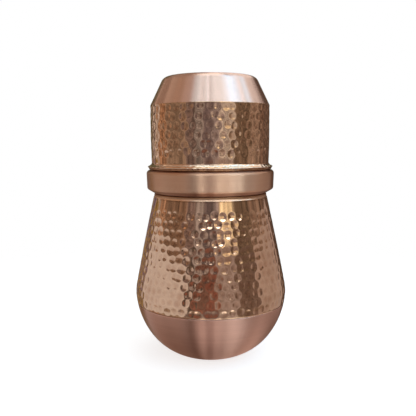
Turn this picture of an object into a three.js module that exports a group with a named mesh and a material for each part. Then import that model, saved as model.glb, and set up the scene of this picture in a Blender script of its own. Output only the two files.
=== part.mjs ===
// A copper lota water pot with its drinking tumbler, which stands upside down over the pot's neck as the lid.
//
// Every piece is a body of revolution about +Z. Millimetres, +Z up, origin at the centre of the foot.
// The pot is spun from sheet in four pieces: a satin bowl, a hammered upper body lapped inside the bowl's edge,
// a straight neck tube, and a hollow collar round the neck that the tumbler rests on. Fillets of brazing alloy
// hold them together. The neck and the tumbler's mouth have wired edges, rolled round a ring of copper wire.

import * as THREE from "three";

// ---- Driving dimensions ----

const SEGMENTS = 48; // facets round each piece, the same on all of them so that nested pieces stay parallel
const FACET_ERROR = 0.12; // the furthest that a straight facet of an outline may stray from its arc
const GAP = 0.3; // clearance between neighbouring pieces

const POT_SHEET = 1.0;
const TUMBLER_SHEET = 0.8;

// Pot: the foot is a flat ring whose middle is pushed up, and the outline above it is a chain of arcs.
const FOOT_RADIUS = 17.3;
const FOOT_RING_INNER = 12.5;
const FOOT_PUSH_RADIUS = 8.5;
const FOOT_PUSH_HEIGHT = 1.5;
const BOWL_ARCS = [
  { radius: 23.3, turn: 20.2 },
  { radius: 47.9, turn: 35.3 },
  { radius: 61.5, turn: 24.1 },
];
const BELLY_ARCS = [
  { radius: 61.5, turn: 4.7 },
  { radius: 27.0, turn: 5.7 },
  { radius: 33.0, turn: 11.0 },
];
const CONE_LENGTH = 69.4; // the hammered wall from the belly to the shoulder's ridge
const CONE_TURN = 1.7; // the slight bulge of that wall, in degrees over its length
const LAP_LENGTH = 5; // how far the upper body reaches down inside the bowl

// Shoulder and neck.
const RIDGE_TURN = 22; // the kink in the outline at the ridge, in degrees
const COVE_RADIUS = 2.6; // the hollow ring between the ridge and the collar
const SHOULDER_ROUND = 1.1;
const NECK_RADIUS = 40; // outside of the neck tube
const NECK_BOTTOM = 123;
const NECK_RIM_HEIGHT = 166; // top of the neck's rolled rim
const NECK_CURL_TURN = 275;
const NECK_WIRE_RADIUS = 0.6;

// Collar: a hollow band with a flat top, a wall that leans out a little and an underside that rises from the neck.
const COLLAR_BOTTOM = 128.1;
const COLLAR_TOP = 145.7;
const COLLAR_SEAT = 2.9; // the level part of the underside, next to the neck
const COLLAR_RISE = { turn: 30, run: 4.1 };
const COLLAR_WALL_LEAN = 2;
const COLLAR_INNER_ROUND = 1.2;
const COLLAR_LOWER_ROUND = 3.2;
const COLLAR_WALL = 9.8;
const COLLAR_UPPER_ROUND = 2.8;

// Tumbler, upside down: its mouth rests on the collar.
const MOUTH_RADIUS = 45.2; // outside of the wall where it meets the flared lip
const MOUTH_BEAD_RADIUS = 1.9;
const MOUTH_BEAD_CENTRE = 46.4;
const MOUTH_FLARE_RADIUS = 1.4;
const MOUTH_CURL_OPENING = 10; // how far short of a closed ring the rolled edge stops, in degrees
const WAIST = { radius: 480, turn: 2.6 }; // the wall draws in a little towards the mouth
const WALL_LENGTH = 20.7;
const TUMBLER_SHOULDER = { radius: 4, turn: 25.6 };
const TUMBLER_CONE_LENGTH = 18.9;
const BASE_ROUND = 6.2;
const BASE_RECESS_RADIUS = 27;
const BASE_RECESS_SLOPE = 1.5;
const BASE_RECESS_DEPTH = 0.8;

const BRAZE_LEG = 1.2; // the two short sides of a braze fillet's section

// ---- Outlines in the half plane: x is the radius and y the height ----

const point = (radius, height) => new THREE.Vector2(radius, height);
const direction = (degrees) =>
  point(Math.cos(THREE.MathUtils.degToRad(degrees)), Math.sin(THREE.MathUtils.degToRad(degrees)));
const stepped = (from, along, degrees) => from.clone().addScaledVector(direction(degrees), along);

// Walks a line from start. A leg { run } goes straight, and a leg { radius, turn } follows an arc that turns
// the heading by that many degrees, to the left if turn is positive. Returns the points and the last heading.
function walk(start, heading, legs) {
  const points = [start];
  for (const leg of legs) {
    const from = points.at(-1);
    if (leg.run !== undefined) {
      points.push(stepped(from, leg.run, heading));
      continue;
    }
    const side = Math.sign(leg.turn) * 90;
    const centre = stepped(from, leg.radius, heading + side);
    const facetTurn = 2 * THREE.MathUtils.radToDeg(Math.acos(1 - FACET_ERROR / leg.radius));
    const steps = Math.ceil(Math.abs(leg.turn) / facetTurn);
    for (let i = 1; i <= steps; i += 1) {
      points.push(stepped(centre, leg.radius, heading + (leg.turn * i) / steps - side));
    }
    heading += leg.turn;
  }
  return { points, heading };
}

// The same line moved to its left by a distance, with mitred corners.
function offset(points, distance) {
  const left = points
    .slice(1)
    .map((p, i) => point(points[i].y - p.y, p.x - points[i].x).normalize());
  return points.map((p, i) => {
    const before = left[Math.max(i - 1, 0)];
    const after = left[Math.min(i, left.length - 1)];
    const mitre = before.clone().add(after);
    return p.clone().addScaledVector(mitre, distance / mitre.dot(before));
  });
}

// The closed section of a sheet whose outer face is the line and whose thickness lies to the line's left.
function sheetSection(line, thickness) {
  const section = [...line, ...offset(line, thickness).reverse()];
  const startsOnAxis = line[0].x < 1e-9;
  const endsOnAxis = line.at(-1).x < 1e-9;
  if (startsOnAxis) return section;
  if (endsOnAxis) {
    const turnover = line.length;
    return [...section.slice(turnover), ...section.slice(0, turnover)];
  }
  return [...section, section[0]];
}

// A right-angled fillet of brazing alloy, with its corner at a point and its legs along two headings.
function filletSection(corner, firstHeading, secondHeading) {
  return [
    corner,
    stepped(corner, BRAZE_LEG, firstHeading),
    stepped(corner, BRAZE_LEG, secondHeading),
    corner,
  ];
}

// ---- Materials ----

const copper = (color, roughness) => new THREE.MeshStandardMaterial({ color, roughness, metalness: 1 });
const hammeredCopper = copper(0xc98a66, 0.16);
const satinCopper = copper(0xc58a72, 0.36);
const plainCopper = copper(0xb87352, 0.3);
const brazeAlloy = copper(0xc9b48a, 0.4);

const object = new THREE.Group();

// Adds a piece turned from a section that runs anticlockwise round its material.
function addTurned(name, section, material) {
  const geometry = new THREE.LatheGeometry(section, SEGMENTS).rotateX(Math.PI / 2);
  const mesh = new THREE.Mesh(geometry, material);
  mesh.name = name;
  object.add(mesh);
}

// Adds the ring of wire inside a rolled edge.
function addWireRing(name, centre, wireRadius) {
  const mesh = new THREE.Mesh(new THREE.TorusGeometry(centre.x, wireRadius, 8, SEGMENTS), plainCopper);
  mesh.name = name;
  mesh.position.z = centre.y;
  object.add(mesh);
}

// ---- Pot ----

const footLine = [
  point(0, FOOT_PUSH_HEIGHT),
  point(FOOT_PUSH_RADIUS, FOOT_PUSH_HEIGHT),
  point(FOOT_RING_INNER, 0),
];
const bowl = walk(point(FOOT_RADIUS, 0), 0, BOWL_ARCS);
const bowlLine = [...footLine, ...bowl.points];
addTurned("pot_bowl", sheetSection(bowlLine, POT_SHEET), satinCopper);

// The upper body starts with a tongue that lies inside the bowl's edge, then steps out flush with its face.
const seam = bowlLine.at(-1);
const lapUp = THREE.MathUtils.radToDeg(seam.clone().sub(bowlLine.at(-2)).angle());
const shellStart = stepped(seam, GAP, lapUp);
const tongueEnd = stepped(shellStart, POT_SHEET + GAP, lapUp + 90);
const tongueStart = stepped(tongueEnd, LAP_LENGTH, lapUp + 180);
const shell = walk(shellStart, bowl.heading, [
  ...BELLY_ARCS,
  { radius: CONE_LENGTH / THREE.MathUtils.degToRad(CONE_TURN), turn: CONE_TURN },
]);
const shoulderHeading = shell.heading + RIDGE_TURN;
const cove = walk(shell.points.at(-1), shoulderHeading, [
  { radius: COVE_RADIUS, turn: 90 - shoulderHeading },
]).points;
const coveTop = cove.at(-1);
const shoulder = walk(coveTop, 90, [
  { radius: SHOULDER_ROUND, turn: 90 },
  { run: coveTop.x - SHOULDER_ROUND - NECK_RADIUS - GAP },
]).points;
const bodyLine = [tongueStart, tongueEnd, ...shell.points, ...cove.slice(1), ...shoulder.slice(1)];
addTurned("pot_body", sheetSection(bodyLine, POT_SHEET), hammeredCopper);

const neckCurlRadius = NECK_WIRE_RADIUS + GAP; // inside of the neck's rolled edge
const neckWire = point(NECK_RADIUS + neckCurlRadius, NECK_RIM_HEIGHT - POT_SHEET - neckCurlRadius);
const neckLine = walk(point(NECK_RADIUS, NECK_BOTTOM), 90, [
  { run: neckWire.y - NECK_BOTTOM },
  { radius: neckCurlRadius, turn: -NECK_CURL_TURN },
]).points;
addTurned("neck_tube", sheetSection(neckLine, POT_SHEET), plainCopper);
addWireRing("neck_rim_wire", neckWire, NECK_WIRE_RADIUS);

const collarInner = NECK_RADIUS + GAP;
const collarTurned = walk(point(collarInner, COLLAR_BOTTOM), 0, [
  { run: COLLAR_SEAT },
  { radius: COLLAR_INNER_ROUND, turn: COLLAR_RISE.turn },
  { run: COLLAR_RISE.run },
  { radius: COLLAR_LOWER_ROUND, turn: 90 - COLLAR_WALL_LEAN - COLLAR_RISE.turn },
  { run: COLLAR_WALL },
  { radius: COLLAR_UPPER_ROUND, turn: 90 + COLLAR_WALL_LEAN },
]).points;
const collarLine = [...collarTurned, point(collarInner, collarTurned.at(-1).y)];
addTurned("collar_band", sheetSection(collarLine, POT_SHEET), satinCopper);

// Braze fillets: at the lap inside the belly, under the shoulder and on top of the collar.
addTurned(
  "belly_braze",
  filletSection(stepped(tongueStart, GAP, lapUp + 180), lapUp + 90, lapUp + 180),
  brazeAlloy,
);
const underShoulder = shoulder.at(-1).y - POT_SHEET - GAP;
addTurned("neck_braze", filletSection(point(collarInner, underShoulder), 270, 0), brazeAlloy);
addTurned("collar_top_braze", filletSection(point(collarInner, COLLAR_TOP + GAP), 0, 90), brazeAlloy);

// ---- Tumbler ----

// The rolled edge runs from its inner side, under, out and over the wire. The flare then turns up into the wall.
const mouthWire = point(MOUTH_BEAD_CENTRE, COLLAR_TOP + GAP + MOUTH_BEAD_RADIUS);
const curlStart = 180 + MOUTH_CURL_OPENING;
const flareReach = MOUTH_RADIUS + MOUTH_FLARE_RADIUS - MOUTH_BEAD_CENTRE;
const flareAngle = THREE.MathUtils.radToDeg(
  Math.acos(flareReach / (MOUTH_FLARE_RADIUS + MOUTH_BEAD_RADIUS)),
);
const tumblerLine = walk(stepped(mouthWire, MOUTH_BEAD_RADIUS, curlStart), curlStart + 90, [
  { radius: MOUTH_BEAD_RADIUS, turn: 360 + flareAngle - curlStart },
  { radius: MOUTH_FLARE_RADIUS, turn: -flareAngle - WAIST.turn },
  WAIST,
  { run: WALL_LENGTH },
  TUMBLER_SHOULDER,
  { run: TUMBLER_CONE_LENGTH },
  { radius: BASE_ROUND, turn: 90 - TUMBLER_SHOULDER.turn },
]).points;
const baseHeight = tumblerLine.at(-1).y;
const baseLine = [
  point(BASE_RECESS_RADIUS, baseHeight),
  point(BASE_RECESS_RADIUS - BASE_RECESS_SLOPE, baseHeight - BASE_RECESS_DEPTH),
  point(0, baseHeight - BASE_RECESS_DEPTH),
];
addTurned("tumbler_cup", sheetSection([...tumblerLine, ...baseLine], TUMBLER_SHEET), hammeredCopper);
addWireRing("tumbler_rim_wire", mouthWire, MOUTH_BEAD_RADIUS - TUMBLER_SHEET - GAP);

export default object;
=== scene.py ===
# The looks of a copper lota water pot and its tumbler lid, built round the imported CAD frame.
#
# Outlines are in millimetres in the half plane (radius, height), and meshes are in metres.

import math

import bpy
import numpy as np
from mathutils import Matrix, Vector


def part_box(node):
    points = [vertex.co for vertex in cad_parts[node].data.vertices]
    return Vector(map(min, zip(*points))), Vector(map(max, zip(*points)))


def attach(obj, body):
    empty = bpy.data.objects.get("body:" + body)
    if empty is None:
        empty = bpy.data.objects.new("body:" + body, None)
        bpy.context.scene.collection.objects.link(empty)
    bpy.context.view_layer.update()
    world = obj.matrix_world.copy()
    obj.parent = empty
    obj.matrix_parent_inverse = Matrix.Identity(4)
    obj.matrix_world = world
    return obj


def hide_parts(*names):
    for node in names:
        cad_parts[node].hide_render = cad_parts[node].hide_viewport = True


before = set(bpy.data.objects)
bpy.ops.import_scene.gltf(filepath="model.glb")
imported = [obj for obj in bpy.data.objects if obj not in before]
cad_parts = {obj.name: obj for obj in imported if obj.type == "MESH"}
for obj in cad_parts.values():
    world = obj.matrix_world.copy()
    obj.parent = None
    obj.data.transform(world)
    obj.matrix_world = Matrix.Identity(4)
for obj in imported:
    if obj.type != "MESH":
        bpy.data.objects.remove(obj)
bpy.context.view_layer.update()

MM = 0.001

# Sheet thicknesses.
POT_SHEET = 1.0
NECK_SHEET = 0.8
TUMBLER_SHEET = 0.8

# Segments round the axis of each kind of piece.
PLAIN_SEGMENTS = 320
NECK_SEGMENTS = 256
BEAD_SEGMENTS = 288
BODY_SEGMENTS = 480
WALL_SEGMENTS = 448

# The hammer marks: their radius and depth, how far apart they are round the pot and round the tumbler, and
# how gently a mark's edge turns into the wall. The last is how many of its radii out a mark is worked out.
DIMPLE_RADIUS = 2.9
DIMPLE_DEPTH = 0.34
BODY_DIMPLE_SPACING = 6.05
WALL_DIMPLE_SPACING = 6.15
EDGE_SOFTNESS = 0.09
DIMPLE_REACH = 1.4

# How much one mark differs from the next: its row's turn and its own place round the wall as shares of the
# spacing, its place up the wall in millimetres, and its size, depth and height as shares of the usual ones.
ROW_TURN = (0.3, 0.7)
AROUND_JITTER = 0.12
UP_JITTER = 0.55
SIZE_RANGE = (0.88, 1.1)
DEPTH_RANGE = (0.6, 1.25)
STRETCH_RANGE = (0.94, 1.1)

# ---- Outlines ----

# The most that a way turns from one point to the next, in degrees, the least distance between two points of
# an inner face, and what counts as nothing.
MOST_TURN = 9
LEAST_STEP = 0.05
TINY = 1e-6


def direction(degrees):
    return np.array([math.cos(math.radians(degrees)), math.sin(math.radians(degrees))])


def walk(start, heading, legs, step=1.0):
    """Walks from start. A leg ("run", length) goes straight, and ("arc", radius, turn) turns left if turn is
    positive. Either may end with its own spacing of points, in place of step. Returns the (point, heading)
    pairs along the way, and the last heading."""
    here = np.array(start, float)
    way = [(here, heading)]
    for leg in legs:
        if leg[0] == "run":
            _, length, *own_step = leg
            spacing = own_step[0] if own_step else step
            count = max(1, round(length / spacing))
            way += [(here + direction(heading) * length * i / count, heading) for i in range(1, count + 1)]
        else:
            _, radius, turn, *own_step = leg
            spacing = own_step[0] if own_step else step
            side = math.copysign(90, turn)
            centre = here + direction(heading + side) * radius
            length = radius * math.radians(abs(turn))
            count = max(1, round(length / spacing), round(abs(turn) / MOST_TURN))
            for i in range(1, count + 1):
                at = heading + turn * i / count
                way.append((centre + direction(at - side) * radius, at))
            heading += turn
        here = way[-1][0]
    return way, heading


def inner_face(way, thickness, keep_every=1):
    """The way's points moved to its left by the sheet's thickness, without those that a tight corner turns
    back. Returns (point, heading, number of the way's point)."""
    kept = []
    for i, (point, heading) in enumerate(way):
        moved = point + direction(heading + 90) * thickness
        last = i == len(way) - 1
        if kept and np.dot(moved - kept[-1][0], direction(heading)) < (TINY if last else LEAST_STEP):
            continue
        if i % keep_every == 0 or last:
            kept.append((moved, heading, i))
    return kept


def distances(way):
    """How far along the way each of its points is."""
    lengths = [np.linalg.norm(after[0] - before[0]) for before, after in zip(way, way[1:])]
    return np.concatenate([[0], np.cumsum(lengths)])


class Shell:
    """The section of a sheet turned about +Z: rows of points, each with its outward normal, its heading and
    its distance along the sheet. The rows of the outer face come first."""

    def __init__(self, way, thickness, inner_every=1):
        along = distances(way)
        outer = [(p, h, along[i]) for i, (p, h) in enumerate(way)]
        inner = [(p, h, along[i]) for p, h, i in inner_face(way, thickness, inner_every)]
        rows = outer + inner[::-1]
        self.points = np.array([r[0] for r in rows])
        self.headings = np.array([r[1] for r in rows])
        self.normals = np.array([direction(r[1] - 90) for r in rows])
        self.along = np.array([r[2] for r in rows])
        self.outer_count = len(outer)


class Ring:
    """A closed section turned about +Z, given by its points."""

    def __init__(self, points):
        self.points = np.array(points, float)
        self.normals = np.zeros_like(self.points)


def turned(name, section, segments, relief=None):
    """Makes the mesh object of a section that goes anticlockwise round its material. relief holds how far
    each point stands out along its row's normal, in millimetres, for (rows, segments)."""
    rows = len(section.points)
    on_axis = section.points[:, 0] < TINY
    phi = np.arange(segments) * (2 * math.pi / segments)
    if relief is None:
        relief = np.zeros((rows, segments))
    radius = section.points[:, 0:1] + section.normals[:, 0:1] * relief
    height = section.points[:, 1:2] + section.normals[:, 1:2] * relief
    radius = np.where(on_axis[:, None], 0, radius)
    places = np.stack([radius * np.sin(phi), -radius * np.cos(phi), height], axis=2) * MM
    starts, vertices = [], []
    for i in range(rows):
        starts.append(len(vertices))
        vertices += [tuple(places[i, 0])] if on_axis[i] else [tuple(place) for place in places[i]]
    faces = []
    for i in range(rows):
        j = (i + 1) % rows
        if on_axis[i] and on_axis[j]:
            continue
        for k in range(segments):
            n = (k + 1) % segments
            corner = [
                starts[i] + (0 if on_axis[i] else k),
                starts[i] + (0 if on_axis[i] else n),
                starts[j] + (0 if on_axis[j] else n),
                starts[j] + (0 if on_axis[j] else k),
            ]
            faces.append(list(dict.fromkeys(corner)))
    mesh = bpy.data.meshes.new(name)
    mesh.from_pydata(vertices, [], faces)
    mesh.shade_smooth()
    mesh.update()
    piece = bpy.data.objects.new(name, mesh)
    bpy.context.scene.collection.objects.link(piece)
    return piece


def all_round(per_row, segments):
    """One value for each row, the same all the way round."""
    return np.repeat(per_row[:, None], segments, axis=1)


def store(piece, name, section, values):
    """Stores a (rows, segments) array on the piece's vertices, for its material to read."""
    on_axis = section.points[:, 0] < TINY
    flat = np.concatenate([row[:1] if axis else row for row, axis in zip(values, on_axis)])
    layer = piece.data.attributes.new(name, "FLOAT", "POINT")
    layer.data.foreach_set("value", flat.astype(np.float32))


# ---- Relief ----


def waviness(section, segments, rng, amount, waves=7, shortest=9.0, longest=40.0):
    """The slight unevenness that hand work leaves in a sheet: a few long waves added up."""
    phi = np.arange(segments) * (2 * math.pi / segments)
    widest = section.points[:, 0].max()
    total = np.zeros((len(section.points), segments))
    for _ in range(waves):
        length = rng.uniform(shortest, longest)
        slant = rng.uniform(0, 2 * math.pi)
        around = round(2 * math.pi * widest * math.cos(slant) / length)
        up = 2 * math.pi * math.sin(slant) / length
        phase = rng.uniform(0, 2 * math.pi)
        total += np.sin(around * phi[None, :] + up * section.along[:, None] + phase) * (length / longest)
    return total * amount / math.sqrt(waves)


def along_at(section, height, first=0):
    """How far along a section's outer face a height is, without the rows before the first."""
    outer = slice(first, section.outer_count)
    return float(np.interp(height, section.points[outer, 1], section.along[outer]))


def hammered(section, segments, rng, rows, spacing):
    """Dimples in staggered rows, given by their distance along the sheet. Returns how far each point is
    sunk, in millimetres, and how deep in a dimple it is, from 0 to 1."""
    pitch = 2 * math.pi / segments
    phi = np.arange(segments) * pitch
    outer_along = section.along[: section.outer_count]
    outer_radius = section.points[: section.outer_count, 0]
    sunk = np.zeros((len(section.points), segments))
    dish = np.zeros_like(sunk)
    turn = 0.0
    for row in rows:
        row_radius = float(np.interp(row, outer_along, outer_radius))
        count = round(2 * math.pi * row_radius / spacing)
        turn += rng.uniform(*ROW_TURN)
        for k in range(count):
            centre_phi = (k + turn + rng.normal(0, AROUND_JITTER)) * 2 * math.pi / count
            centre_along = row + rng.normal(0, UP_JITTER)
            size = DIMPLE_RADIUS * rng.uniform(*SIZE_RANGE)
            deep = DIMPLE_DEPTH * rng.uniform(*DEPTH_RANGE)
            stretch = rng.uniform(*STRETCH_RANGE)
            near = np.where(np.abs(section.along - centre_along) < size * DIMPLE_REACH)[0]
            half = int(math.ceil(size * DIMPLE_REACH / row_radius / pitch))
            middle = int(round(centre_phi / pitch))
            columns = np.arange(middle - half, middle + half + 1) % segments
            angle = (phi[columns] - centre_phi + math.pi) % (2 * math.pi) - math.pi
            across = angle[None, :] * section.points[near, 0][:, None]
            up = (section.along[near] - centre_along)[:, None] / stretch
            inside = 1 - (across**2 + up**2) / size**2
            bowl = EDGE_SOFTNESS * np.logaddexp(0, inside / EDGE_SOFTNESS)
            index = np.ix_(near, columns)
            sunk[index] = np.maximum(sunk[index], deep * bowl)
            dish[index] = np.maximum(dish[index], np.clip(bowl, 0, 1))
    return sunk, dish


# ---- Materials ----


class Nodes:
    """Short names for adding shader nodes to a tree."""

    def __init__(self, tree):
        self.tree = tree
        tree.nodes.clear()

    def add(self, kind, **settings):
        node = self.tree.nodes.new(kind)
        for key, value in settings.items():
            setattr(node, key, value)
        return node

    def link(self, source, target):
        self.tree.links.new(source, target)

    def feed(self, socket, value):
        if isinstance(value, bpy.types.NodeSocket):
            self.link(value, socket)
        else:
            socket.default_value = value

    def math(self, operation, a, b=0.0, c=0.0):
        node = self.add("ShaderNodeMath", operation=operation)
        for socket, value in zip(node.inputs, (a, b, c)):
            self.feed(socket, value)
        return node.outputs[0]

    def span(self, value, from_low, from_high, to_low=0.0, to_high=1.0, smooth=False):
        node = self.add("ShaderNodeMapRange", interpolation_type="SMOOTHSTEP" if smooth else "LINEAR")
        for socket, number in zip(node.inputs, (value, from_low, from_high, to_low, to_high)):
            self.feed(socket, number)
        return node.outputs[0]

    def mix(self, factor, a, b):
        node = self.add("ShaderNodeMix", data_type="RGBA")
        self.feed(node.inputs["Factor"], factor)
        for name, value in (("A", a), ("B", b)):
            socket = next(s for s in node.inputs if s.name == name and s.type == "RGBA")
            self.feed(socket, value if isinstance(value, bpy.types.NodeSocket) else (*value, 1.0))
        return next(s for s in node.outputs if s.type == "RGBA")

    def noise(self, vector, scale, detail=3.0, roughness=0.5):
        node = self.add("ShaderNodeTexNoise")
        self.link(vector, node.inputs["Vector"])
        node.inputs["Scale"].default_value = scale
        node.inputs["Detail"].default_value = detail
        node.inputs["Roughness"].default_value = roughness
        return node.outputs["Fac"]

    def attribute(self, name):
        return self.add("ShaderNodeAttribute", attribute_name=name).outputs["Fac"]

    def stretched(self, vector, scale):
        node = self.add("ShaderNodeMapping")
        self.link(vector, node.inputs["Vector"])
        node.inputs["Scale"].default_value = scale
        return node.outputs["Vector"]

    def bump(self, height, strength, distance, below=None):
        node = self.add("ShaderNodeBump")
        node.inputs["Strength"].default_value = strength
        node.inputs["Distance"].default_value = distance
        self.link(height, node.inputs["Height"])
        if below is not None:
            self.link(below, node.inputs["Normal"])
        return node.outputs["Normal"]


def metal(name):
    """A metallic material. Returns it with its nodes, its shader and the place that its noises read."""
    material = bpy.data.materials.new(name)
    material.use_nodes = True
    nodes = Nodes(material.node_tree)
    shader = nodes.add("ShaderNodeBsdfPrincipled")
    shader.inputs["Metallic"].default_value = 1.0
    output = nodes.add("ShaderNodeOutputMaterial")
    nodes.link(shader.outputs[0], output.inputs["Surface"])
    place = nodes.add("ShaderNodeTexCoord").outputs["Object"]
    return material, nodes, shader, place


# Painted shade and a painted highlight: the colours that a piece goes over where it stores its painted shade
# mask or its painted highlight mask.
SHADE_PAINT = (0.50, 0.28, 0.15)
COLLAR_SHADE_PAINT = (0.28, 0.11, 0.07)
HIGHLIGHT_PAINT = (0.93, 0.79, 0.64)

# Turns brushed highlights from along the rings to across them.
QUARTER_TURN = 0.25

# Depths of fine relief, in metres.
GROOVE_DEPTH = 0.0001
SCRATCH_DEPTH = 0.00004
SPECK_DEPTH = 0.00005
GRAIN_DEPTH = 0.0001


def satin_copper(name, colour, dark, roughness, anisotropic, line_strength, shade_paint=SHADE_PAINT):
    """Copper brushed round its axis: fine rings, with highlights drawn out up and down, and painted shade
    where the piece stores it.
    """
    material, nodes, shader, place = metal(name)
    rings = nodes.noise(nodes.stretched(place, (40, 40, 3500)), 1.0, 4.0, 0.6)
    broad_rings = nodes.noise(nodes.stretched(place, (9, 9, 500)), 1.0, 3.0, 0.5)
    clouds = nodes.noise(place, 28.0, 4.0, 0.6)
    shade = nodes.math("MULTIPLY", rings, 0.45)
    shade = nodes.math("MULTIPLY_ADD", broad_rings, 0.35, shade)
    shade = nodes.math("MULTIPLY_ADD", clouds, 0.35, shade)
    tint = nodes.mix(nodes.span(shade, 0.38, 0.78), dark, colour)
    nodes.link(nodes.mix(nodes.attribute("painted_shade"), tint, shade_paint), shader.inputs["Base Color"])
    rough = nodes.math("ADD", nodes.math("MULTIPLY", rings, 0.10), nodes.math("MULTIPLY", clouds, 0.12))
    nodes.link(nodes.math("ADD", rough, roughness - 0.11), shader.inputs["Roughness"])
    shader.inputs["Anisotropic"].default_value = anisotropic
    shader.inputs["Anisotropic Rotation"].default_value = QUARTER_TURN
    tangent = nodes.add("ShaderNodeTangent", direction_type="RADIAL", axis="Z")
    nodes.link(tangent.outputs[0], shader.inputs["Tangent"])
    nodes.link(nodes.bump(rings, line_strength, GROOVE_DEPTH), shader.inputs["Normal"])
    return material


def hammered_copper(name, colour, dark):
    """Polished copper, a little darker and duller in the bottom of each dimple, with hairline scratches. It
    is dull where the piece stores "satin", darker where it stores painted shade and paler where it stores a
    painted highlight."""
    material, nodes, shader, place = metal(name)
    dish = nodes.attribute("dish")
    clouds = nodes.noise(place, 35.0, 5.0, 0.6)
    specks = nodes.noise(place, 900.0, 2.0, 0.6)
    scratches = nodes.noise(nodes.stretched(place, (260, 260, 2600)), 1.0, 2.0, 0.5)
    worn = nodes.math("SUBTRACT", nodes.math("ADD", clouds, 0.12), nodes.math("MULTIPLY", dish, 0.22))
    tint = nodes.mix(nodes.span(worn, 0.2, 0.6), dark, colour)
    tint = nodes.mix(nodes.attribute("painted_highlight"), tint, HIGHLIGHT_PAINT)
    nodes.link(nodes.mix(nodes.attribute("painted_shade"), tint, SHADE_PAINT), shader.inputs["Base Color"])
    rough = nodes.math("MULTIPLY", clouds, 0.06)
    rough = nodes.math("MULTIPLY_ADD", specks, 0.04, rough)
    rough = nodes.math("MULTIPLY_ADD", dish, 0.03, rough)
    rough = nodes.math("MULTIPLY_ADD", nodes.attribute("satin"), 0.3, rough)
    nodes.link(nodes.math("ADD", rough, 0.05), shader.inputs["Roughness"])
    fine = nodes.bump(scratches, 0.12, SCRATCH_DEPTH)
    nodes.link(nodes.bump(specks, 0.10, SPECK_DEPTH, fine), shader.inputs["Normal"])
    return material


def braze_alloy(name):
    """Brazing alloy as it froze: pale, dull and slightly grainy."""
    material, nodes, shader, place = metal(name)
    grain = nodes.noise(place, 700.0, 4.0, 0.7)
    patches = nodes.noise(place, 90.0, 3.0, 0.5)
    tint = nodes.mix(nodes.span(patches, 0.35, 0.65), (0.46, 0.33, 0.2), (0.74, 0.61, 0.4))
    nodes.link(tint, shader.inputs["Base Color"])
    nodes.link(nodes.span(grain, 0.3, 0.7, 0.35, 0.6), shader.inputs["Roughness"])
    nodes.link(nodes.bump(grain, 0.3, GRAIN_DEPTH), shader.inputs["Normal"])
    return material


satin_pot = satin_copper("satin_bowl", (0.90, 0.56, 0.43), (0.77, 0.45, 0.34), 0.36, 1.0, 0.45)
satin_collar = satin_copper(
    "satin_collar", (0.99, 0.66, 0.45), (0.92, 0.57, 0.375), 0.42, 1.0, 0.5, COLLAR_SHADE_PAINT
)
satin_tumbler = satin_copper("satin_tumbler", (0.93, 0.69, 0.57), (0.87, 0.60, 0.48), 0.24, 0.95, 0.08)
inside = satin_copper("spun_inside", (0.86, 0.52, 0.36), (0.66, 0.37, 0.26), 0.36, 0.5, 0.4)
polished = hammered_copper("hammered", (0.95, 0.66, 0.45), (0.72, 0.43, 0.27))
alloy = braze_alloy("braze")


def dress(piece, body, slot, material, *nodes_replaced):
    """Gives a piece its material, its body and the CAD nodes that it stands in for. The slot is not used."""
    piece.data.materials.append(material)
    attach(piece, body)
    if nodes_replaced:
        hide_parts(*nodes_replaced)
    return piece


# ---- Pot ----

rng = np.random.default_rng(7)

NECK_RADIUS = 40.0
GAP = 0.3
NECK_HOLE = NECK_RADIUS + GAP
BELLY_ARC = 61.5

# Bowl: the recess pressed up into the foot, the flat ring that it stands on, and three arcs up to the seam.
FOOT_RADIUS = 17.3
foot_legs = [
    ("run", 7.7, 0.9),
    ("arc", 1.6, -20.56),
    ("run", 2.9),
    ("arc", 1.6, 20.56),
    ("run", 4.2),
]
foot_way, _ = walk((0, 1.5), 0, foot_legs)
foot_level = foot_way[-1][0][1]
foot_way = [(p - [0, foot_level], h) for p, h in foot_way if p[0] < FOOT_RADIUS - 0.8]
foot_way.append((np.array([FOOT_RADIUS, 0.0]), 0))
side_legs = [("arc", 23.3, 20.2), ("arc", 47.9, 35.3), ("arc", BELLY_ARC, 24.1)]
side_way, bowl_heading = walk((FOOT_RADIUS, 0), 0, side_legs)
seam = side_way[-1][0]
bowl_section = Shell(foot_way + side_way[1:], POT_SHEET, 2)
clear_of_foot = np.clip((bowl_section.points[:, 1] - 0.5) / 4, 0, 1)[:, None]
bowl_wave = waviness(bowl_section, PLAIN_SEGMENTS, rng, 0.012)
bowl = turned("satin_bowl", bowl_section, PLAIN_SEGMENTS, bowl_wave * clear_of_foot)
dress(bowl, "pot", "satin_copper", satin_pot, "pot_bowl")

# Body: the lap inside the bowl, the belly, the hammered wall, the ridge, the cove and the shoulder.
LAP = 5.0
BODY_STEP = 0.66
WALL_LENGTH = 69.3
WALL_TURN = 1.7
SHOULDER_EDGE = 0.9
BODY_DIMPLE_ROWS = 12
LOWEST_BODY_ROW_Z = 47.3
HIGHEST_BODY_ROW_Z = 114.0

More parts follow.
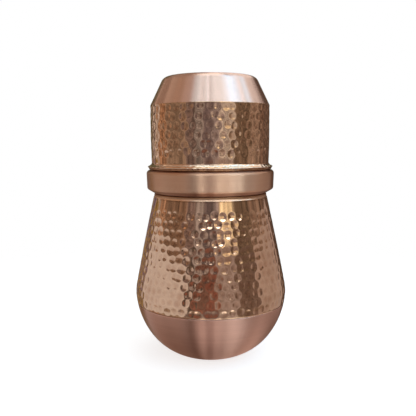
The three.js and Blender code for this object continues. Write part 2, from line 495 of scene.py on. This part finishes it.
body_start = seam + direction(bowl_heading) * 0.05
lap_up = bowl_heading - 3
lap_start = body_start - direction(lap_up) * LAP + direction(lap_up + 90) * (POT_SHEET + GAP)
lap_way, _ = walk(lap_start, lap_up, [("run", LAP - 0.1)])
belly_legs = [
    ("arc", BELLY_ARC, 4.7, BODY_STEP),
    ("arc", 27.0, 5.7, BODY_STEP),
    ("arc", 33.0, 11.0, BODY_STEP),
    ("arc", WALL_LENGTH / math.radians(WALL_TURN), WALL_TURN, BODY_STEP),
    ("arc", 0.5, 22, 0.1),
]
belly_way, ridge_heading = walk(body_start, bowl_heading, belly_legs)
ridge = belly_way[-1][0]
cove_way, _ = walk(ridge, ridge_heading, [("arc", 2.6, 90 - ridge_heading, 0.25)])
cove_top = cove_way[-1][0]
body_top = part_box("pot_body")[1].z / MM
shoulder_legs = [
    ("run", body_top - SHOULDER_EDGE - cove_top[1]),
    ("arc", SHOULDER_EDGE, 90, 0.2),
    ("run", cove_top[0] - SHOULDER_EDGE - NECK_HOLE),
]
shoulder_way, _ = walk(cove_top, 90, shoulder_legs)
body_section = Shell(lap_way + belly_way + cove_way[1:] + shoulder_way[1:], POT_SHEET, 2)
body_wave = waviness(body_section, BODY_SEGMENTS, rng, 0.022)
first_row = along_at(body_section, LOWEST_BODY_ROW_Z)
last_row = along_at(body_section, HIGHEST_BODY_ROW_Z)
body_rows = np.linspace(first_row, last_row, BODY_DIMPLE_ROWS)
sunk, dish = hammered(body_section, BODY_SEGMENTS, rng, body_rows, BODY_DIMPLE_SPACING)
body = turned("hammered_body", body_section, BODY_SEGMENTS, body_wave - sunk)

# Above the ridge the copper is dull. Painted shade darkens it in a line under the ridge and in the cove.
past_ridge = body_section.along - along_at(body_section, ridge[1])
above_ridge = np.clip((past_ridge - 0.1) / 0.25, 0, 1)
under_ridge = np.clip(1 - np.abs(past_ridge + 0.75) / 0.45, 0, 1) * 0.75
in_cove = np.clip((past_ridge - 1.1) / 0.4, 0, 1) * 0.9
store(body, "dish", body_section, dish)
store(body, "satin", body_section, all_round(above_ridge, BODY_SEGMENTS))
store(body, "painted_shade", body_section, all_round(under_ridge + in_cove, BODY_SEGMENTS))
dress(body, "pot", "hammered_copper", polished, "pot_body")

# Neck: a straight tube with a rolled rim.
NECK_FOOT_Z = 123.0
neck_legs = [("run", 41.0, 1.2), ("arc", 0.95, -180, 0.15), ("run", 0.5), ("arc", 0.9, -80, 0.2)]
neck_way, _ = walk((NECK_RADIUS, NECK_FOOT_Z), 90, neck_legs)
neck_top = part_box("neck_tube")[1].z / MM
short_by = neck_top - NECK_SHEET - max(p[1] for p, _ in neck_way)
neck_way = [neck_way[0]] + [(p + [0, short_by], h) for p, h in neck_way[1:]]
neck_section = Shell(neck_way, NECK_SHEET)
neck_wave = waviness(neck_section, NECK_SEGMENTS, rng, 0.008)
neck = turned("neck_tube", neck_section, NECK_SEGMENTS, neck_wave)
dress(neck, "pot", "plain_copper", inside, "neck_tube", "neck_rim_wire")

# Collar: a hollow band of sheet, open towards the neck. Its rounded edges and its sloping underside take
# COLLAR_EDGES of its height.
COLLAR_EDGES = 7.32
collar_low, collar_high = (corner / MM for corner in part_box("collar_band"))
collar_legs = [
    ("run", 2.9),
    ("arc", 1.2, 30, 0.2),
    ("run", 4.54),
    ("arc", 2.4, 58, 0.2),
    ("run", collar_high.z - collar_low.z - COLLAR_EDGES, 0.8),
    ("arc", 2.8, 92, 0.3),
    ("run", 6.1),
]
collar_way, _ = walk((NECK_HOLE, collar_low.z), 0, collar_legs)
collar_section = Shell(collar_way, POT_SHEET, 2)
collar_wave = waviness(collar_section, PLAIN_SEGMENTS, rng, 0.012)
collar = turned("collar", collar_section, PLAIN_SEGMENTS, collar_wave)

# Painted shade darkens it underneath and round its top edge, which the headings of the sheet tell apart.
headings = collar_section.headings
low_part = collar_section.points[:, 1] < collar_low.z + 4
under_collar = np.clip((46 - np.abs(headings)) / 12, 0, 1) * low_part * 0.6
top_edge = np.interp(headings, [132, 144, 165, 178], [0, 0.9, 0.7, 0.2]) * ~low_part
store(collar, "painted_shade", collar_section, all_round(under_collar + top_edge, PLAIN_SEGMENTS))
dress(collar, "pot", "satin_copper", satin_collar, "collar_band")

# ---- Braze ----

FILLET_LEG = 1.2
FILLET_HOLLOW = 1.6
FILLET_POINTS = 9
RIPPLES_ROUND = (23, 41, 67, 88)
RIPPLE_HEIGHT = 0.025
CLEARANCE = 0.05


def braze(name, corner, first, second, node):
    """A fillet in a corner, with legs in two directions and a hollow face that ripples."""
    corner = np.array(corner, float)
    a, b = direction(first) * FILLET_LEG, direction(second) * FILLET_LEG
    shares = np.linspace(0, 1, FILLET_POINTS)
    face = [corner + a * (1 - t) ** FILLET_HOLLOW + b * t**FILLET_HOLLOW for t in shares]
    section = Ring([corner] + face)
    section.normals[1:] = (a + b) / np.linalg.norm(a + b)
    phi = np.arange(BEAD_SEGMENTS) * (2 * math.pi / BEAD_SEGMENTS)
    ripple = np.zeros((len(section.points), BEAD_SEGMENTS))
    for count in RIPPLES_ROUND:
        ripple += RIPPLE_HEIGHT * np.sin(count * phi + rng.uniform(0, 6.28))[None, :]
    ripple[0] = ripple[1] = ripple[-1] = 0
    piece = turned(name, section, BEAD_SEGMENTS, ripple - CLEARANCE)
    return dress(piece, "pot", "brazing_alloy", alloy, node)


beside_neck = NECK_RADIUS + CLEARANCE
under_lap = lap_start - direction(lap_up) * 2 * CLEARANCE
braze("belly_braze_bead", under_lap, lap_up + 90, lap_up + 180, "belly_braze")
braze("neck_braze_bead", (beside_neck, body_top - POT_SHEET - CLEARANCE), 270, 0, "neck_braze")
braze("collar_top_bead", (beside_neck, collar_high.z + CLEARANCE), 0, 90, "collar_top_braze")

# ---- Tumbler ----

cup_low, cup_high = (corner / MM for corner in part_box("tumbler_cup"))
lip_radius = cup_high.x
mouth = cup_low.z

# The lip, from its inside round its two beads to the foot of the hammered side.
LIP_HEIGHT = 5.0
lip_points = [
    (44.45, mouth + 3.2),
    (44.75, mouth + 1.3),
    (45.35, mouth + 0.35),
    (46.2, mouth + 0.0),
    (46.9, mouth + 0.12),
    (47.35, mouth + 0.5),
    (47.5, mouth + 0.95),
    (47.42, mouth + 1.3),
    (47.75, mouth + 1.5),
    (48.12, mouth + 1.75),
    (lip_radius, mouth + 2.1),
    (48.15, mouth + 2.45),
    (47.7, mouth + 2.75),
    (47.0, mouth + 3.05),
    (46.2, mouth + 3.5),
    (45.6, mouth + 4.2),
    (45.25, mouth + 4.8),
]


def smooth_line(points, per_leg=4):
    """A Catmull-Rom curve through the points, as (point, heading) pairs."""
    p = np.array(points, float)
    p = np.vstack([2 * p[0] - p[1], p, 2 * p[-1] - p[-2]])
    way = []
    for i in range(1, len(p) - 2):
        a, b, c, d = p[i - 1 : i + 3]
        slope, bend, twist = c - a, 2 * a - 5 * b + 4 * c - d, 3 * b - a - 3 * c + d
        for t in np.linspace(0, 1, per_leg, endpoint=i == len(p) - 3):
            point = 0.5 * (2 * b + slope * t + bend * t**2 + twist * t**3)
            along = slope + 2 * bend * t + 3 * twist * t**2
            way.append((point, math.degrees(math.atan2(along[1], along[0]))))
    return way


def first_above_lip(outer_heights):
    return int(np.argmax(outer_heights > mouth + LIP_HEIGHT))


def wall_with_lip(outer, inner):
    """The wall's section from its outer and its inner way, both going upward. Along the inner way, distances
    are those of the outer way at the same height."""
    way = outer + inner[::-1]
    section = Ring([p for p, _ in way])
    section.normals = np.array([direction(h - 90) for _, h in way])
    section.outer_count = len(outer)
    outer_along = distances(outer)
    heights = section.points[:, 1]
    first = first_above_lip(heights[: len(outer)])
    inner_along = np.interp(heights[len(outer) :], heights[first : len(outer)], outer_along[first:])
    section.along = np.concatenate([outer_along, inner_along])
    return section


# The wall: the lip, a slight flare that turns straight, and the corner where the satin end begins.
CORNER_Z = 194.6
CORNER_RADIUS = 45.6
WALL_STEP = 0.62
WALL_FOOT = 5.3
FLARE_ARC = 480
FLARE_TURN = 2.6
FLARE_RISE = 21.77
WALL_DIMPLE_ROWS = 6
LOWEST_WALL_ROW_Z = 158.9
HIGHEST_WALL_ROW_Z = 191.4

wall_legs = [
    ("arc", FLARE_ARC, FLARE_TURN, WALL_STEP),
    ("run", CORNER_Z - 0.7 - mouth - WALL_FOOT - FLARE_RISE, WALL_STEP),
]
wall_way, _ = walk((45.2, mouth + WALL_FOOT), 90 - FLARE_TURN, wall_legs)
corner_way = [
    (np.array([CORNER_RADIUS + 0.06, CORNER_Z - 0.3]), 97),
    (np.array([CORNER_RADIUS, CORNER_Z]), 106),
]
inner_way = [(p - [TUMBLER_SHEET, 0], 90) for p, _ in wall_way[::2]]
inner_way.append((np.array([CORNER_RADIUS - 1, CORNER_Z]), 96))
wall_section = wall_with_lip(smooth_line(lip_points) + wall_way + corner_way, inner_way)
above_lip = first_above_lip(wall_section.points[: wall_section.outer_count, 1])
row_heights = np.linspace(LOWEST_WALL_ROW_Z, HIGHEST_WALL_ROW_Z, WALL_DIMPLE_ROWS)
wall_rows = [along_at(wall_section, z, above_lip) for z in row_heights]
wall_sunk, wall_dish = hammered(wall_section, WALL_SEGMENTS, rng, wall_rows, WALL_DIMPLE_SPACING)
wall_wave = waviness(wall_section, WALL_SEGMENTS, rng, 0.02)
lip_wave = waviness(wall_section, WALL_SEGMENTS, rng, 0.14, 14, 2.0, 6.0)

# The lip has short ripples of its own, and the wall's waves fade out at the lip and at the corner.
above_mouth = wall_section.points[:, 1] - mouth
off_lip = np.clip((above_mouth - 3) / 6, 0, 1)[:, None]
on_lip = np.clip((above_mouth - 0.8) / 0.8, 0, 1) * np.clip((LIP_HEIGHT - above_mouth) / 1.5, 0, 1)
below_corner = np.clip((CORNER_Z - wall_section.points[:, 1]) / 2, 0, 1)[:, None]
wall_relief = (wall_wave * off_lip - wall_sunk) * below_corner + (lip_wave - 0.1) * on_lip[:, None]
wall = turned("tumbler_wall", wall_section, WALL_SEGMENTS, wall_relief)

# The lip's upper bead has a painted highlight, and its underside has painted shade.
outside = np.arange(len(above_mouth)) < wall_section.outer_count
painted_highlight = np.clip((above_mouth - 2.0) / 0.5, 0, 1) * np.clip((4.4 - above_mouth) / 0.6, 0, 1) * outside
underside = np.clip((2.0 - above_mouth) / 0.4, 0, 1) * outside
store(wall, "dish", wall_section, wall_dish)
store(wall, "painted_highlight", wall_section, all_round(painted_highlight, WALL_SEGMENTS))
store(wall, "painted_shade", wall_section, all_round(underside, WALL_SEGMENTS))
dress(wall, "tumbler", "hammered_copper", polished, "tumbler_cup", "tumbler_rim_wire")

# The satin end: cone, rounded edge and the shallow recess in the base, stretched a little to full height.
STRETCHED_OVER = 10
cone_way, slope = walk((CORNER_RADIUS, CORNER_Z + 0.02), 107, [("arc", 1.0, 8.6, 0.1), ("run", 19.8)])
edge_legs = [
    ("arc", 6.2, 180 - slope, 0.4),
    ("run", 4.3),
    ("arc", 1.2, 28, 0.2),
    ("run", 1.2),
    ("arc", 1.2, -28, 0.2),
]
edge_way, _ = walk(cone_way[-1][0], slope, edge_legs)
recess_edge = edge_way[-1][0]
recess_way, _ = walk(recess_edge, 180, [("run", recess_edge[0])])
end_way = cone_way + edge_way[1:] + recess_way[1:]
short_by = cup_high.z - max(p[1] for p, _ in end_way)
end_way = [(p + [0, short_by * np.clip((p[1] - CORNER_Z) / STRETCHED_OVER, 0, 1)], h) for p, h in end_way]
end_inner = [(p, h) for p, h, _ in inner_face(end_way, TUMBLER_SHEET, 2)]
end_inner[-1] = (np.array([0.0, end_inner[-1][0][1]]), 180)
end_section = Ring([p for p, _ in end_inner[::-1] + end_way])
end = turned("tumbler_end", end_section, PLAIN_SEGMENTS)
dress(end, "tumbler", "satin_copper", satin_tumbler)

# ---- Floor ----


def floor_material():
    """A pale matt floor that fades out into the white backdrop."""
    material = bpy.data.materials.new("floor")
    material.use_nodes = True
    nodes = Nodes(material.node_tree)
    place = nodes.add("ShaderNodeTexCoord").outputs["Object"]
    distance = nodes.add("ShaderNodeVectorMath", operation="LENGTH")
    nodes.link(place, distance.inputs[0])
    matt = nodes.add("ShaderNodeBsdfDiffuse")
    matt.inputs["Color"].default_value = (0.5, 0.54, 0.56, 1)
    glow = nodes.add("ShaderNodeEmission")
    glow.inputs["Strength"].default_value = 0.74
    pale = nodes.add("ShaderNodeAddShader")
    nodes.link(matt.outputs[0], pale.inputs[0])
    nodes.link(glow.outputs[0], pale.inputs[1])
    clear = nodes.add("ShaderNodeBsdfTransparent")
    blend = nodes.add("ShaderNodeMixShader")
    nodes.link(nodes.span(distance.outputs["Value"], 0.16, 0.5, smooth=True), blend.inputs[0])
    nodes.link(pale.outputs[0], blend.inputs[1])
    nodes.link(clear.outputs[0], blend.inputs[2])
    output = nodes.add("ShaderNodeOutputMaterial")
    nodes.link(blend.outputs[0], output.inputs["Surface"])
    return material


def lay_floor():
    """A disc just under the foot. Reflections show the studio's painted table in its place."""
    radius, sides, drop = 0.55, 96, 0.0003
    turns = [2 * math.pi * k / sides for k in range(sides)]
    rim = [(radius * math.cos(turn), radius * math.sin(turn), 0) for turn in turns]
    mesh = bpy.data.meshes.new("floor")
    mesh.from_pydata(rim, [], [list(range(sides))])
    mesh.materials.append(floor_material())
    floor = bpy.data.objects.new("floor", mesh)
    bpy.context.scene.collection.objects.link(floor)
    floor.location.z = -drop
    floor.visible_glossy = False


lay_floor()

# ---- Studio: panels of light and dark flags round the object, painted by direction ----

# Each panel is (lowest and highest azimuth, lowest and highest elevation, edge softness, colour). Azimuth 0
# is behind the camera and 90 is to its right; angles are in degrees. Later panels cover earlier ones.
PANELS = [
    # bands at eye level, from left to right
    ((-200, -143), (-34, 36), 8, (0.13, 0.10, 0.055)),
    ((-176, -166), (-34, 30), 4, (0.15, 0.125, 0.06)),
    ((-143, -115), (-34, 36), 5, (0.40, 0.35, 0.33)),
    ((-136, -131), (-34, 36), 3, (0.06, 0.03, 0.02)),
    ((-115, -92), (-34, 36), 5, (0.35, 0.21, 0.14)),
    ((-106, -102), (-34, 36), 2, (0.15, 0.09, 0.06)),
    ((-90, -47), (-34, 36), 8, (0.24, 0.18, 0.145)),
    ((-47, -28), (-34, 36), 3, (0.15, 0.115, 0.115)),
    ((-28, -12), (-34, 36), 3, (0.24, 0.22, 0.23)),
    ((-12, 4), (-34, 36), 3, (0.14, 0.115, 0.13)),
    ((4, 18), (-34, 36), 4, (0.25, 0.22, 0.24)),
    ((18, 45), (-34, 36), 5, (0.40, 0.37, 0.36)),
    ((45, 80), (-34, 36), 6, (0.15, 0.11, 0.085)),
    ((80, 108), (-34, 36), 6, (0.26, 0.195, 0.165)),
    ((108, 140), (-34, 36), 8, (0.155, 0.105, 0.085)),
    ((140, 160), (-34, 36), 6, (0.09, 0.055, 0.04)),
    # the upper half of the bands, which the sloping side of the pot mirrors
    ((-143, -100), (9, 36), 4, (0.30, 0.20, 0.15)),
    ((-100, -47), (9, 36), 4, (0.19, 0.13, 0.10)),
    ((80, 140), (9, 36), 4, (0.20, 0.14, 0.115)),
    ((17, 44), (12, 21), 4, (0.80, 0.70, 0.50)),
    # the bright wall over them
    ((-112, -88), (28, 40), 4, (0.62, 0.45, 0.34)),
    ((-88, -45), (28, 40), 4, (0.72, 0.44, 0.28)),
    ((-32, -24), (26, 40), 4, (0.70, 0.64, 0.60)),
    ((-24, -11), (30, 41), 3, (4.40, 4.45, 4.60)),
    ((-11, -5), (31, 41), 3, (2.40, 2.40, 2.45)),
    ((-5, 6), (31, 41), 3, (3.20, 3.20, 3.30)),
    ((6, 18), (30, 41), 3, (4.60, 4.65, 4.80)),
    ((18, 27), (30, 41), 3, (4.00, 4.05, 4.15)),
    ((27, 60), (28, 41), 3, (5.40, 5.50, 5.60)),
    ((60, 80), (30, 41), 4, (3.60, 3.20, 2.80)),
    ((82, 116), (28, 40), 4, (0.42, 0.33, 0.27)),
    # the pale table under the pot, darker towards its foot
    ((-180, -112), (-58, -38), 8, (0.14, 0.08, 0.055)),
    ((-112, -33), (-58, -38), 6, (0.17, 0.10, 0.07)),
    ((-33, -24), (-58, -38), 5, (0.62, 0.54, 0.52)),
    ((-24, -11), (-60, -38), 4, (1.75, 1.60, 1.56)),
    ((-11, 6), (-60, -38), 4, (0.82, 0.72, 0.70)),
    ((6, 20), (-60, -38), 4, (1.80, 1.70, 1.68)),
    ((20, 29), (-60, -38), 4, (0.95, 0.90, 0.90)),
    ((29, 60), (-60, -38), 5, (1.80, 1.80, 1.82)),
    ((60, 72), (-60, -38), 5, (1.25, 1.20, 1.20)),
    ((72, 180), (-58, -38), 8, (0.64, 0.53, 0.49)),
    # ceiling and windows
    ((-180, -70), (38, 68), 8, (0.34, 0.24, 0.19)),
    ((-70, -44), (38, 68), 6, (0.50, 0.40, 0.37)),
    ((-44, 47), (36, 74), 5, (0.79, 0.95, 1.08)),
    ((-25, -15), (36, 74), 3, (0.60, 0.66, 0.74)),
    ((-7, -4), (42, 74), 1.5, (1.5, 1.8, 2.1)),
    ((-3, 6), (36, 74), 3, (0.60, 0.66, 0.74)),
    ((47, 78), (34, 74), 3, (1.00, 1.62, 2.30)),
    ((78, 180), (28, 66), 4, (0.92, 0.90, 0.90)),
    ((88, 103), (32, 60), 3, (1.05, 1.60, 2.15)),
    ((125, 180), (28, 66), 8, (0.95, 0.88, 0.85)),
]

# What is behind the panels, from straight down to straight up.
DEEP_TABLE = (0.09, 0.05, 0.04)
DIM_ROOM = (0.34, 0.28, 0.24)
DIM_WALL = (0.42, 0.35, 0.30)
OVERHEAD = (1.6, 1.6, 1.6)


def panels_over(nodes, azimuth, elevation, colour):
    """The panels over a background colour, each with soft edges."""
    for (left, right), (low, high), soft, paint in PANELS:
        half = (right - left) / 2
        away = nodes.math("WRAP", nodes.math("SUBTRACT", azimuth, (left + right) / 2), 180.0, -180.0)
        away = nodes.math("ABSOLUTE", away)
        across = nodes.span(away, half - soft / 2, half + soft / 2, 1.0, 0.0, smooth=True)
        above = nodes.span(elevation, low - soft, low + soft, smooth=True)
        below = nodes.span(elevation, high - soft, high + soft, 1.0, 0.0, smooth=True)
        mask = nodes.math("MULTIPLY", nodes.math("MULTIPLY", above, below), across)
        colour = nodes.mix(mask, colour, paint)
    return colour


def clutter(nodes, ray, elevation):
    """How the light varies from place to place: blots at eye level, and upright streaks everywhere."""
    blots = nodes.noise(nodes.stretched(ray, (11, 11, 6)), 1.0, 4.0, 0.65)
    blots = nodes.span(blots, 0.38, 0.64, 0.45, 1.65)
    eye_level = nodes.span(nodes.math("ABSOLUTE", elevation), 20, 34, 1.0, 0.0, smooth=True)
    blots = nodes.math("MULTIPLY_ADD", nodes.math("SUBTRACT", blots, 1.0), eye_level, 1.0)
    streaks = nodes.noise(nodes.stretched(ray, (20, 20, 1.2)), 1.0, 3.0, 0.65)
    streaks = nodes.span(streaks, 0.36, 0.64, 0.60, 1.40)
    return nodes.math("MULTIPLY", blots, streaks)


def build_studio():
    """The painted studio, which lights the pot and shows in reflections. The camera sees plain white."""
    world = bpy.data.worlds.new("studio")
    bpy.context.scene.world = world
    world.use_nodes = True
    nodes = Nodes(world.node_tree)
    ray = nodes.add("ShaderNodeTexCoord").outputs["Generated"]
    parts = nodes.add("ShaderNodeSeparateXYZ")
    nodes.link(ray, parts.inputs[0])
    x, y, z = parts.outputs
    azimuth = nodes.math("ARCTAN2", x, nodes.math("MULTIPLY", y, -1.0))
    azimuth = nodes.math("MULTIPLY", azimuth, math.degrees(1))
    elevation = nodes.math("MULTIPLY", nodes.math("ARCSINE", z), math.degrees(1))
    colour = nodes.mix(nodes.span(elevation, -85, -15, smooth=True), DEEP_TABLE, DIM_ROOM)
    colour = nodes.mix(nodes.span(elevation, 30, 42, smooth=True), colour, DIM_WALL)
    colour = panels_over(nodes, azimuth, elevation, colour)
    colour = nodes.mix(nodes.span(elevation, 68, 78, smooth=True), colour, OVERHEAD)
    scaled = nodes.add("ShaderNodeVectorMath", operation="SCALE")
    nodes.link(colour, scaled.inputs[0])
    nodes.link(clutter(nodes, ray, elevation), scaled.inputs["Scale"])
    light = nodes.add("ShaderNodeBackground")
    nodes.link(scaled.outputs[0], light.inputs["Color"])
    plain = nodes.add("ShaderNodeBackground")
    plain.inputs["Color"].default_value = (1, 1, 1, 1)
    pick = nodes.add("ShaderNodeMixShader")
    nodes.link(nodes.add("ShaderNodeLightPath").outputs["Is Camera Ray"], pick.inputs[0])
    nodes.link(light.outputs[0], pick.inputs[1])
    nodes.link(plain.outputs[0], pick.inputs[2])
    output = nodes.add("ShaderNodeOutputWorld")
    nodes.link(pick.outputs[0], output.inputs["Surface"])


# Low upright cards that stand close round the pot, curved about its axis. Only reflections show them. Each
# is (from and to azimuth, height of its top at each end, two colours that mingle, unevenness of their
# strength), with heights in metres. They reach down below the floor, which reflections don't show.
CARD_DISTANCE = 0.23
CARD_FOOT = -0.05
CARD_STEP = 3
CARDS = [
    ((-165, -111), (0.150, 0.142), (0.27, 0.185, 0.07), (0.17, 0.13, 0.17), 0.7),
    ((-111, -31), (0.128, 0.106), (0.55, 0.52, 0.53), (0.49, 0.46, 0.48), 0.1),
    ((-31, -24), (0.128, 0.120), (0.12, 0.09, 0.07), (0.10, 0.08, 0.08), 0.5),
    ((-24, -8), (0.074, 0.122), (0.22, 0.10, 0.08), (0.16, 0.10, 0.085), 0.45),
    ((-8, 4), (0.130, 0.132), (0.20, 0.085, 0.068), (0.15, 0.092, 0.08), 0.45),
    ((4, 12), (0.130, 0.076), (0.21, 0.115, 0.09), (0.16, 0.12, 0.11), 0.45),
    ((8, 38), (0.136, 0.136), (0.34, 0.29, 0.30), (0.24, 0.19, 0.18), 0.25),
    ((38, 67), (0.120, 0.114), (0.19, 0.14, 0.13), (0.12, 0.085, 0.07), 0.35),
    ((67, 126), (0.104, 0.138), (0.38, 0.31, 0.30), (0.34, 0.28, 0.26), 0.15),
]


def round_axis(azimuth, distance):
    """The place on the floor at an azimuth in degrees."""
    at = math.radians(azimuth)
    return distance * math.sin(at), -distance * math.cos(at)


def card_mesh(left, right, height_left, height_right):
    count = 2 + round((right - left) / CARD_STEP)
    vertices = []
    for t in np.linspace(0, 1, count):
        x, y = round_axis(left + (right - left) * t, CARD_DISTANCE)
        vertices += [(x, y, CARD_FOOT), (x, y, height_left + (height_right - height_left) * t)]
    faces = [(2 * k, 2 * k + 1, 2 * k + 3, 2 * k + 2) for k in range(count - 1)]
    mesh = bpy.data.meshes.new("card")
    mesh.from_pydata(vertices, [], faces)
    return mesh


def card_material(name, paint, other, uneven):
    """A softly glowing card, blotched in two colours."""
    material = bpy.data.materials.new(name)
    material.use_nodes = True
    nodes = Nodes(material.node_tree)
    glow = nodes.add("ShaderNodeEmission")
    place = nodes.add("ShaderNodeTexCoord").outputs["Object"]
    blots = nodes.noise(nodes.stretched(place, (38, 38, 30)), 1.0, 3.0, 0.6)
    nodes.link(nodes.mix(nodes.span(blots, 0.42, 0.58), paint, other), glow.inputs["Color"])
    patches = nodes.noise(nodes.stretched(place, (60, 60, 26)), 1.0, 4.0, 0.65)
    nodes.link(nodes.span(patches, 0.36, 0.64, 1 - uneven, 1 + uneven), glow.inputs["Strength"])
    output = nodes.add("ShaderNodeOutputMaterial")
    nodes.link(glow.outputs[0], output.inputs["Surface"])
    return material


def stand_cards():
    """The cards glow only in reflections: they light nothing else and cast no shadow."""
    for number, (azimuths, heights, paint, other, uneven) in enumerate(CARDS):
        name = f"card_{number}"
        mesh = card_mesh(*azimuths, *heights)
        mesh.materials.append(card_material(name, paint, other, uneven))
        card = bpy.data.objects.new(name, mesh)
        bpy.context.scene.collection.objects.link(card)
        card.visible_camera = False
        card.visible_diffuse = False
        card.visible_shadow = False


# Narrow upright lamps that light the collar alone, for the bright streaks on its brushed wall. Each is
# (azimuth, width, power), in degrees, metres and watts.
STREAK_LAMPS = [(-14, 0.018, 0.0095), (14, 0.018, 0.0085), (36, 0.014, 0.006), (48, 0.018, 0.011)]
LAMP_DISTANCE = 0.2
LAMP_HEIGHT = 0.09
LAMP_MIDDLE_Z = 0.13
LAMP_COLOUR = (0.90, 1.0, 1.0)


def stand_streak_lamps():
    """The lamps face the axis, and light linking keeps them to the collar."""
    collar_only = bpy.data.collections.new("collar_only")
    collar_only.objects.link(collar)
    for azimuth, width, power in STREAK_LAMPS:
        lamp = bpy.data.lights.new("streak_lamp", "AREA")
        lamp.shape = "RECTANGLE"
        lamp.size = width
        lamp.size_y = LAMP_HEIGHT
        lamp.energy = power
        lamp.color = LAMP_COLOUR
        holder = bpy.data.objects.new("streak_lamp", lamp)
        bpy.context.scene.collection.objects.link(holder)
        holder.location = (*round_axis(azimuth, LAMP_DISTANCE), LAMP_MIDDLE_Z)
        holder.rotation_euler = (math.radians(90), 0, math.radians(azimuth))
        holder.visible_camera = False
        holder.light_linking.receiver_collection = collar_only


build_studio()
stand_cards()
stand_streak_lamps()

# ---- Camera ----

CAMERA_PLACE = (-0.0016, -0.4459, 0.1661)
LOOKS_DOWN = 6.5
ROLL = 0.29

bpy.context.scene.view_settings.view_transform = "Standard"
camera_data = bpy.data.cameras.new("camera")
camera_data.lens = 49.47
camera_data.sensor_width = 36
camera = bpy.data.objects.new("camera", camera_data)
bpy.context.scene.collection.objects.link(camera)
camera.location = CAMERA_PLACE
camera.rotation_euler = (math.radians(90 - LOOKS_DOWN), math.radians(ROLL), 0)
bpy.context.scene.camera = camera
